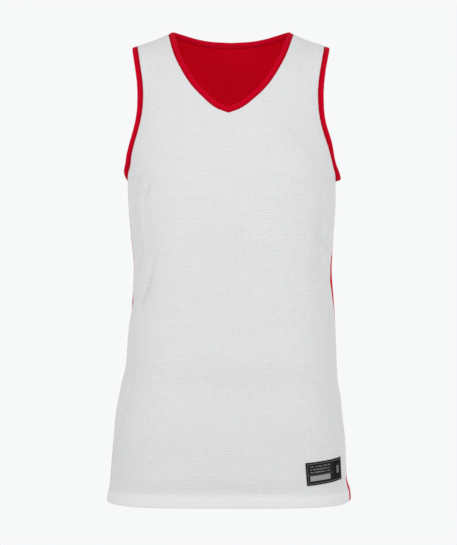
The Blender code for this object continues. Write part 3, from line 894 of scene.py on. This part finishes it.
def threadOf(name, colour, shine):
    # Twisted sewing thread: slanting bands along its length, the darker ones painted shade between
    # the plies.
    material, shader, flat = newCloth(name, 0.5, 0.25 * shine, (1.0, 1.0, 1.0), shine)
    along, about = apart(flat)
    twist = (along * 9000.0 + about * (2 * math.pi)).maths("SINE") * 0.5 + 0.5
    # painted shade between the twisted plies
    plyShade = tuple(0.72 * value for value in colour)
    dress(shader, flat, mixColours(twist, plyShade, colour), bumpOf(twist, 0.00008, 0.8))
    return material


finishes = {
    "whiteMesh": dimpledMesh("whiteMesh", whiteLook),
    "redMesh": dimpledMesh("redMesh", redLook),
    "redBand": binding(),
    **{name: threadOf(name, *look) for name, look in threadLook.items()},
}
print("Cloths ready:", ", ".join(finishes))

pieces, stripes = {}, {}
for side in ("front", "back"):
    pieces[side + "Panel"] = whitePanel(side)
    pieces[side + "Lining"] = redLining(side)
for sign in (1, -1):
    pieces["sideStripe" + armNames[sign].title()] = sideStripe(sign)
print("Panels, linings and stripes made")


# The bands are one puffed profile carried along a seam.
bandLook = {
    "width": 0.0090,
    "thickness": 0.0026,
    "clear": 0.0002,          # from the panel's edge
    "tongue": 0.0011,         # how far its sewn edge goes in between the two layers
    "window": 0.0060,         # half the stretch of seam that sets the band's direction
    # at the point of the V, the seam and the ridge beside it: rise as a share, place, half width
    "mitre": ((-0.40, 0.0, 0.0007), (0.14, -0.0017, 0.0009)),
    "dip": (0.30, 0.62),      # the sewn line: share of the width, and of half the thickness
    "samples": 380,
    "cornerPitch": 0.25,      # their pitch at a corner, as a share of an even one
    "backFlare": 26.0,        # how far, in degrees, the back neck stands up from the cloth
    "backFlareAt": 0.04,      # how far back it does so in full
}

# How far, in degrees, each armhole band turns out from the cloth, by height.
armholeFlare = table("height* left right", [
    (-216.4, 67, 26),
    (-211, 47, 34),
    (-201, 28, 43),
    (-186, 15, 40),
    (-170, 23, 29),
    (-155, 28, 24),
    (-125, 20, 21),
    (-92, 23, 25),
    (-62, 13, 13),
    (-34, -5, 2),
    (0, 0, 0),
])

# Half the profile: share of the width from the seam, and height outside and inside as shares
# of half the thickness. The dip near the seam is the sewn line.
bandProfile = table("share outer inner", [
    (0, 0.32, 0.32),
    (0.05, 0.74, 0.74),
    (0.14, 0.9, 0.92),
    (0.24, 0.9, 0.95),
    (0.3, 0.62, 0.78),
    (0.36, 0.9, 0.95),
    (0.46, 1.08, 1),
    (0.62, 1.18, 1),
    (0.78, 1.1, 0.95),
    (0.9, 0.86, 0.8),
    (0.97, 0.48, 0.46),
    (1, 0, 0),
])


def closed(values, axis=0):
    # With the first row or column repeated at the end.
    return np.concatenate([values, np.take(values, [0], axis)], axis)


def lengthsAlong(line):
    return np.append(0.0, np.cumsum(np.linalg.norm(np.diff(line, axis=0), axis=1)))


def readAlong(length, values, at):
    # Three columns of values at given lengths.
    return np.stack([np.interp(at, length, column) for column in values.T], axis=1)


def makeBand(name, node, path, normals, flare, cornerAtStart=False):
    # A band round an opening, as a grid that is closed both ways. At each length its way is
    # square to the chord of a short stretch of seam. Dividing by the chord's own shortening
    # mitres it at a corner.
    look = bandLook
    path, normals = closed(path), closed(normals)
    length = lengthsAlong(path)
    total, window = float(length[-1]), look["window"]
    f = np.arange(look["samples"]) / look["samples"]
    if cornerAtStart:
        g = (f + 0.5) % 1.0 - 0.5
        f = (look["cornerPitch"] * g + 4 * (1 - look["cornerPitch"]) * g**3) % 1.0
    at = f * total
    place = readAlong(length, path, at)
    facing = unit(sum(readAlong(length, normals, (at + step * window / 3) % total)
                      for step in range(-3, 4)))
    behind, ahead = (readAlong(length, path, (at + step) % total) for step in (-window, window))
    chord = (ahead - behind) / (2 * window)
    shortening = np.clip(np.linalg.norm(chord, axis=1, keepdims=True), 0.8, 1.0)
    inward = unit(np.cross(facing, chord))
    if np.sum((place.mean(axis=0) - place) * inward) < 0:
        inward = -inward
    turn = np.radians(flare(place))[:, None]
    way = inward * np.cos(turn) + facing * np.sin(turn)
    rise = facing * np.cos(turn) - inward * np.sin(turn)
    half = look["thickness"] / 2
    start = look["clear"] + half * np.sin(np.abs(turn))

    def laid(across, high):
        # points across the band at each length
        out = (start + across) / shortening
        return place[:, None] + way[:, None] * out[..., None] + rise[:, None] * high[..., None]

    share, outer, inner = bandProfile.values()
    across = np.concatenate([[0.0], share, share[-2::-1]]) * look["width"]
    high = np.concatenate([[0.0], outer, -inner[-2::-1]]) * half + np.zeros((len(at), 1))
    if cornerAtStart:
        away = ((at + total / 2) % total - total / 2)[:, None]
        high *= 1 + sum(by * np.exp(-((away - centre) / wide) ** 2)
                        for by, centre, wide in look["mitre"])
    grid = laid(across, high)
    grid[:, 0] = place - inward * look["tongue"]
    across[0] = -look["tongue"]

    # the flat lengths are kept per corner, so that the last faces run on to the full length
    numbers = closed(closed(np.arange(high.size).reshape(high.shape)), 1)
    flat = np.broadcast_arrays(np.append(at, total)[:, None], closed(across))
    pieces[name] = makePiece(name, grid.reshape(-1, 3), cells(numbers),
                             np.stack([cells(values) for values in flat], axis=-1),
                             finishes["redBand"], node)
    dip = laid(np.array([look["dip"][0] * look["width"]]),
               np.full((len(at), 1), look["dip"][1] * half))[:, 0]
    return {"total": total, "dip": dip, "rise": rise}


def edgeUp(half, column, first):
    # Points and normals up one edge of a half panel, to the middle of the shoulder line.
    edge = np.stack([half["points"][first:, column], half["normals"][first:, column]], axis=1)
    edge[-1, 0, 1] = 0.0
    edge[-1, 1] = unit(np.array([half["sign"] * cut["shoulderSlope"], 0.0, 1.0]))
    return edge


def neckPath():
    # The neck seam from the point of the V up the left, round the back and down the right.
    front, back = ([edgeUp(half, 0, half["neckRow"]) for half in panels[side].values()]
                   for side in ("front", "back"))
    path = np.concatenate([front[0], back[0][-2:0:-1], back[1], front[1][-2:0:-1]])
    return path[:, 0], path[:, 1]


def armholePath(sign):
    # The armhole seam from the underarm up the front, down the back and across the stripe.
    front, back = (edgeUp(panels[side][sign], -1, len(bodyRows)) for side in ("front", "back"))
    stripe = np.stack([stripes[sign]["points"][-1], stripes[sign]["normals"][-1]], axis=1)
    path = np.concatenate([front, back[-2::-1], stripe[-2:0:-1]])
    return path[:, 0], path[:, 1]


bands = {"neckBand": makeBand(
    "neckBand", "neck_band", *neckPath(),
    lambda place: bandLook["backFlare"] * ease(place[:, 1] / bandLook["backFlareAt"]), True)}
for sign, arm in armNames.items():
    name = "armholeBand" + arm.title()
    bands[name] = makeBand(name, "armhole_band_" + arm, *armholePath(sign),
                           lambda place: smooth(armholeFlare, arm, place[:, 2]))
print("Bands made")


# The woven label, laid on the front panel's own points.
labelLook = {
    "width": 0.077,
    "height": 0.034,
    "centre": (0.1505, -0.6542),  # flat length from the front's middle, and height
    "tilt": 4.3,
    "cloth": 0.0009,
    "clear": 0.0003,
    "rim": 0.0012,
    "rimShare": 0.45,             # share of the thickness that is left at its edge
    # what is woven in: boxes are left, right, bottom and top
    "frameInset": 0.0022,
    "frameLine": 0.0005,
    "divider": 0.0500,
    "dividerLine": 0.0004,
    "blank": (0.0056, 0.0430, 0.0062, 0.0138),    # the pale box
    "shelf": (0.0150, 0.0153),                    # the line above it
    "lines": (0.0062, 0.0440, 0.0168, 0.0292),    # the block of small dashes above that
    "linePitch": 0.0042,
    "dashPitch": 0.0011,
    "patch": (0.0594, 0.0668, 0.0118, 0.0230),    # the small plain patch on the dark end
    "surface": (0.6, 0.0, (0.8, 0.8, 0.85), 0.05),
    "tone": {"Drift": 0.08, "Fluff": 0.25},
    "knit": {"Rib": 0.00042, "Loop": 0.0006},
    "ground": (0.0050, 0.0050, 0.0052),
    "inside": (0.0130, 0.0130, 0.0135),
    "darkEnd": (0.0035, 0.0035, 0.0037),
    "frame": (0.29, 0.29, 0.295),
    "dash": (0.24, 0.24, 0.245),
    "patchTone": (0.190, 0.190, 0.194),
    "blankTone": (0.34, 0.345, 0.35),
}


def betweenPoints(grid, row, column):
    # A grid's value at a part row and a part column, straight between its four neighbours.
    r = np.clip(np.floor(row).astype(int), 0, grid.shape[0] - 2)
    c = np.clip(np.floor(column).astype(int), 0, grid.shape[1] - 2)
    u, v = (row - r)[..., None], (column - c)[..., None]
    low = grid[r, c] * (1 - v) + grid[r, c + 1] * v
    high = grid[r + 1, c] * (1 - v) + grid[r + 1, c + 1] * v
    return low * (1 - u) + high * u


def labelGrid(u, v):
    # Points of the front panel under the label, for lengths from its lower corner. The column is
    # read from the panel's own flat lengths, so that the label isn't skewed.
    look, half = labelLook, panels["front"][1]
    lengths = half["uv"][..., 0]
    tilt = math.radians(look["tilt"])
    right, above = u - look["width"] / 2, v - look["height"] / 2
    across = look["centre"][0] + right * math.cos(tilt) - above * math.sin(tilt)
    up = look["centre"][1] + right * math.sin(tilt) + above * math.cos(tilt)
    row = np.interp(up, bodyRows, np.arange(len(bodyRows)))
    column = np.empty_like(row)
    for level in np.unique(np.floor(row).astype(int)):
        here = np.floor(row) == level
        low, high = (np.interp(across[here], line, np.arange(len(line)))
                     for line in lengths[level:level + 2])
        column[here] = low + (high - low) * (row[here] - level)
    return {"points": betweenPoints(half["points"], row, column),
            "normals": unit(betweenPoints(half["normals"], row, column)),
            "uv": np.stack([u, v], axis=-1)}


def wovenLabel():
    # Black satin with a fine frame, rows of dashes, a pale blank box and a plain patch, all
    # woven in: no word, letter or sign.
    look = labelLook
    material, shader, flat = newCloth("wovenLabel", *look["surface"])

    def box(left, right, bottom, top):
        return placeEffect("boxMask", flat, Left=left, Right=right, Bottom=bottom, Top=top)["Mask"]

    def framed(inset):
        return box(inset, look["width"] - inset, inset, look["height"] - inset)

    inset, divider = look["frameInset"], look["divider"]
    top = look["height"] - inset
    inside = framed(inset + look["frameLine"])
    divide = box(divider, divider + look["dividerLine"], inset, top)
    shelf = box(inset, divider, *look["shelf"])
    fine = (framed(inset) - inside).maths("MAXIMUM", shelf).maths("MAXIMUM", divide * 0.35)
    # dashes: rows at an even pitch, broken where a coarse noise is low
    rows = ((apart(flat)[1] - look["lines"][2]) / look["linePitch"]).maths("FRACT") - 0.5
    rows = easedStep(rows.maths("ABSOLUTE"), 0.26, 0.18)
    snapped = vectorMaths("SNAP", flat, {1: (look["dashPitch"], look["linePitch"], 1.0)})
    breaks = Wire(addNode(flat.tree, "ShaderNodeTexWhiteNoise", {"Vector": snapped},
                          noise_dimensions="3D").outputs["Value"]).maths("GREATER_THAN", 0.30)
    dashes = rows * breaks * box(*look["lines"])
    patch = box(*look["patch"]) * 0.9
    darkEnd = box(divider, look["width"] - inset, inset, top)
    colour = mixColours(inside, look["ground"], look["inside"])
    for mask, tone in ((darkEnd * 0.75, "darkEnd"), (fine * 0.9, "frame"), (dashes * 0.8, "dash"),
                       (patch, "patchTone"), (box(*look["blank"]), "blankTone")):
        colour = mixColours(mask, colour, look[tone])
    weave = placeEffect("knitLoops", flat, **look["knit"])["Height"]
    raised = bumpOf(fine.maths("MAXIMUM", dashes).maths("MAXIMUM", patch), 0.00008, 0.7)
    dress(shader, flat, colour, bumpOf(weave, 0.00005, 0.7, raised), look["tone"])
    return material


def hemLabel():
    # A wall over the label's place, thinner along its rim.
    look = labelLook
    rim = look["rim"]
    across, upwards = (
        np.concatenate([[0.0, 0.3 * rim], np.linspace(rim, size - rim, count),
                        [size - 0.3 * rim, size]])
        for size, count in ((look["width"], 52), (look["height"], 24)))
    u, v = np.meshgrid(across, upwards)
    edge = np.minimum(np.minimum(u, look["width"] - u), np.minimum(v, look["height"] - v))
    wall = look["cloth"] * (look["rimShare"] + (1 - look["rimShare"]) * ease(edge / rim))
    low = cut["gap"] / 2 + clothLook["cloth"] + look["clear"]
    grid = labelGrid(u, v)
    return makeWall("hemLabel", [grid], low, [low + wall], wovenLabel(), "hem_label")


pieces["hemLabel"] = hemLabel()
print("Label made")


# Sewing: every row of stitches is one joined mesh of short threads that dip at both ends.
stitchLook = {
    "hemPitch": 0.0034, "hemLength": 0.0027, "hemThread": 0.00036, "hemUp": 0.0166,
    "bandPitch": 0.0027, "bandLength": 0.0020, "bandThread": 0.00042,
    "labelPitch": 0.0024, "labelLength": 0.0018, "labelThread": 0.00036, "labelInset": 0.0011,
}


def evenPlaces(line, outs, pitch):
    # Places at an even pitch along an open line of points, with the line's way at each.
    length = lengthsAlong(line)
    at = np.arange(pitch / 2, length[-1], pitch)
    behind, ahead = (readAlong(length, line, at + step) for step in (-pitch / 3, pitch / 3))
    return readAlong(length, line, at), unit(ahead - behind), unit(readAlong(length, outs, at))


def makeStitches(row, lines, material):
    # A five-sided thread of five rings for each place: its radius and height follow half a sine.
    pitch, long, thread = (stitchLook[row + name] for name in ("Pitch", "Length", "Thread"))
    sets = [evenPlaces(*line, pitch) for line in lines]
    places, alongs, outs = (np.concatenate(group) for group in zip(*sets))
    t = np.linspace(-1.0, 1.0, 5)[:, None]
    radius = thread / 2 * np.array([0.55, 0.95, 1.0, 0.95, 0.55])[:, None]
    height = thread * (0.55 * np.cos(t * math.pi / 2) - 0.35)
    angle = np.arange(5) / 5 * 2 * math.pi
    local = np.stack(np.broadcast_arrays(
        t * long / 2, radius * np.cos(angle), height + radius * np.sin(angle)), axis=-1)
    points = places[:, None] + local.reshape(-1, 3) @ np.stack(
        [alongs, unit(np.cross(outs, alongs)), outs], axis=1)
    ring = np.arange(25).reshape(5, 5)
    # each end is closed by a quad and a triangle over its five corners
    ends = [[4, 3, 2, 1], [20, 21, 22, 23], [4, 1, 0, 0], [20, 23, 24, 24]]
    faces = np.concatenate([cells(closed(ring, 1)), ends])
    faces = faces + 25 * np.arange(len(places))[:, None, None]
    uv = np.stack(np.broadcast_arrays(t * long / 2, angle / (2 * math.pi)), axis=-1)
    name = row + "Stitches"
    pieces[name] = makePiece(name, points.reshape(-1, 3), faces.reshape(-1, 4),
                             np.tile(uv.reshape(-1, 2), (len(places), 1)), material,
                             sharp=180.0)


def hemLine(half):
    # Along the outside of the turned-up hem.
    columns = np.arange(1, half["points"].shape[1] - 1, dtype=float)
    row = float(np.interp(cut["hem"] + stitchLook["hemUp"], bodyRows, np.arange(len(bodyRows))))
    base, out, high = (betweenPoints(values, np.full(len(columns), row), columns) for values in (
        half["points"], half["normals"], wallThickness(half)[..., None]))
    out = unit(out)
    return base + out * (cut["gap"] / 2 + high), out


def bandLine(band):
    # Round the dip of a band, on its outside.
    return closed(band["dip"]), closed(band["rise"])


def labelLine():
    # Round the label, just inside its rim.
    inset, label = stitchLook["labelInset"], labelLook
    t = np.linspace(0.0, 4.0, 161)
    u = np.interp(t, range(5), np.array([0, 1, 1, 0, 0]) * (label["width"] - 2 * inset)) + inset
    v = np.interp(t, range(5), np.array([0, 0, 1, 1, 0]) * (label["height"] - 2 * inset)) + inset
    grid = labelGrid(u, v)
    out = cut["gap"] / 2 + clothLook["cloth"] + label["clear"] + label["cloth"]
    return grid["points"] + grid["normals"] * out, grid["normals"]


makeStitches("hem", [hemLine(half) for side in panels.values() for half in side.values()],
             finishes["whiteThread"])
makeStitches("band", [bandLine(band) for band in bands.values()], finishes["redThread"])
makeStitches("label", [labelLine()], finishes["blackThread"])
print("Sewing made")


# What each cloth was cut to, from its own flat lengths.
def clothArea(points):
    # Area of a grid: the sum of its cells' two triangles.
    a, b, c, d = points[:-1, :-1], points[:-1, 1:], points[1:, 1:], points[1:, :-1]
    first = np.linalg.norm(np.cross(b - a, c - a), axis=-1)
    return float(np.sum(first + np.linalg.norm(np.cross(c - a, d - a), axis=-1)) / 2)


for side, other in (("front", "back_panel"), ("back", "front_panel")):
    halves = panels[side].values()
    flat = np.concatenate([half["uv"].reshape(-1, 2) for half in halves])
    flat = (round(float(np.ptp(flat[:, 0])), 3), round(float(flat[:, 1].max()), 3))
    area = round(sum(clothArea(half["points"]) for half in halves), 4)
    print(side, "panel: cut within", flat, "m, area", area, "square metres")
for arm in ("Left", "Right"):
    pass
for name, band in bands.items():
    [pieces["bandStitches"]] if name == "neckBand" else []


# The studio: a pale floor and backdrop, with broad soft lights.
studio = {
    "backdrop": (0.930, 0.939, 0.947, 1.0),
    "ambient": (0.985, 0.993, 1.0, 1.0),
    "ambientStrength": 0.795,
    "ambientOverhead": 0.59,      # the light from straight above is dimmer
    "floor": (0.80, 0.805, 0.81, 1.0),
    "floorHeight": -1.45,
    "floorRadius": 4.5,
    "floorSides": 96,
    "cameraPlace": (-0.00385, -3.34, -0.3565),
    "lens": 143.3,
}

# Lights: place, what they are aimed at, size and power.
lights = {
    "key": ((-0.95, -1.15, 0.04), (0, 0, -0.20), 0.8, 4.5),
    "fill": ((0.95, -1.15, 0.04), (0, 0, -0.20), 0.9, 4.3),
    "back": ((0.8, 2.0, 0.5), (0, 0, -0.30), 0.9, 9.0),
    # low inside the body, for the inside of the back
    "neck": ((0.0, -0.030, -0.200), (0, 0.07, -0.06), 0.10, 0.086),
}


def intoScene(name, data, place=(0.0, 0.0, 0.0), turn=(0.0, 0.0, 0.0)):
    made = bpy.data.objects.new(name, data)
    made.location, made.rotation_euler = place, turn
    bpy.context.scene.collection.objects.link(made)
    return made


def makeWorld():
    # The camera sees the backdrop, and the cloth is lit by an even light, dimmer overhead.
    world = bpy.data.worlds.new("studio")
    bpy.context.scene.world = world
    world.use_nodes = True
    tree = world.node_tree
    seen = tree.nodes["Background"]
    setInputs(seen, {"Color": studio["backdrop"]})
    way = Wire(addNode(tree, "ShaderNodeTexCoord").outputs["Generated"])
    height = Wire(addNode(tree, "ShaderNodeSeparateXYZ", {0: way}).outputs[2])
    strength = Wire(addNode(tree, "ShaderNodeMapRange", {
        "Value": height, "From Min": 0.0, "From Max": 1.0,
        "To Min": studio["ambientStrength"], "To Max": studio["ambientOverhead"]}).outputs[0])
    soft = addNode(tree, "ShaderNodeBackground", {
        "Color": studio["ambient"], "Strength": strength})
    rays = Wire(addNode(tree, "ShaderNodeLightPath").outputs["Is Camera Ray"])
    both = addNode(tree, "ShaderNodeMixShader", {
        0: rays, 1: Wire(soft.outputs[0]), 2: Wire(seen.outputs[0])})
    setInputs(tree.nodes["World Output"], {"Surface": Wire(both.outputs[0])})


def makeFloor():
    # A flat disc, pale all over.
    count, radius = studio["floorSides"], studio["floorRadius"]
    angle = np.arange(count) * 2 * math.pi / count
    rim = np.stack([radius * np.cos(angle), radius * np.sin(angle),
                    np.full(count, studio["floorHeight"])], axis=1)
    mesh = bpy.data.meshes.new("floor")
    mesh.from_pydata(rim.tolist(), [], [list(range(count))])
    mesh.update()
    material = bpy.data.materials.new("paleFloor")
    material.use_nodes = True
    setInputs(material.node_tree.nodes["Principled BSDF"],
              {"Base Color": studio["floor"], "Roughness": 0.9})
    mesh.materials.append(material)
    intoScene("floor", mesh)


def makeLights():
    for name, (place, aim, size, power) in lights.items():
        lamp = bpy.data.lights.new(name, "AREA")
        lamp.size, lamp.energy = size, power
        way = unit(np.subtract(aim, place))
        turn = (math.acos(-way[2]), 0.0, math.atan2(way[1], way[0]) - math.pi / 2)
        intoScene(name, lamp, place, turn).visible_camera = False


def makeCamera():
    camera = bpy.data.cameras.new("camera")
    camera.lens = studio["lens"]
    bpy.context.scene.camera = intoScene(
        "camera", camera, studio["cameraPlace"], (math.pi / 2, 0.0, 0.0))
    bpy.context.scene.view_settings.view_transform = "Standard"


makeWorld()
makeFloor()
makeLights()
makeCamera()
print("Studio ready")
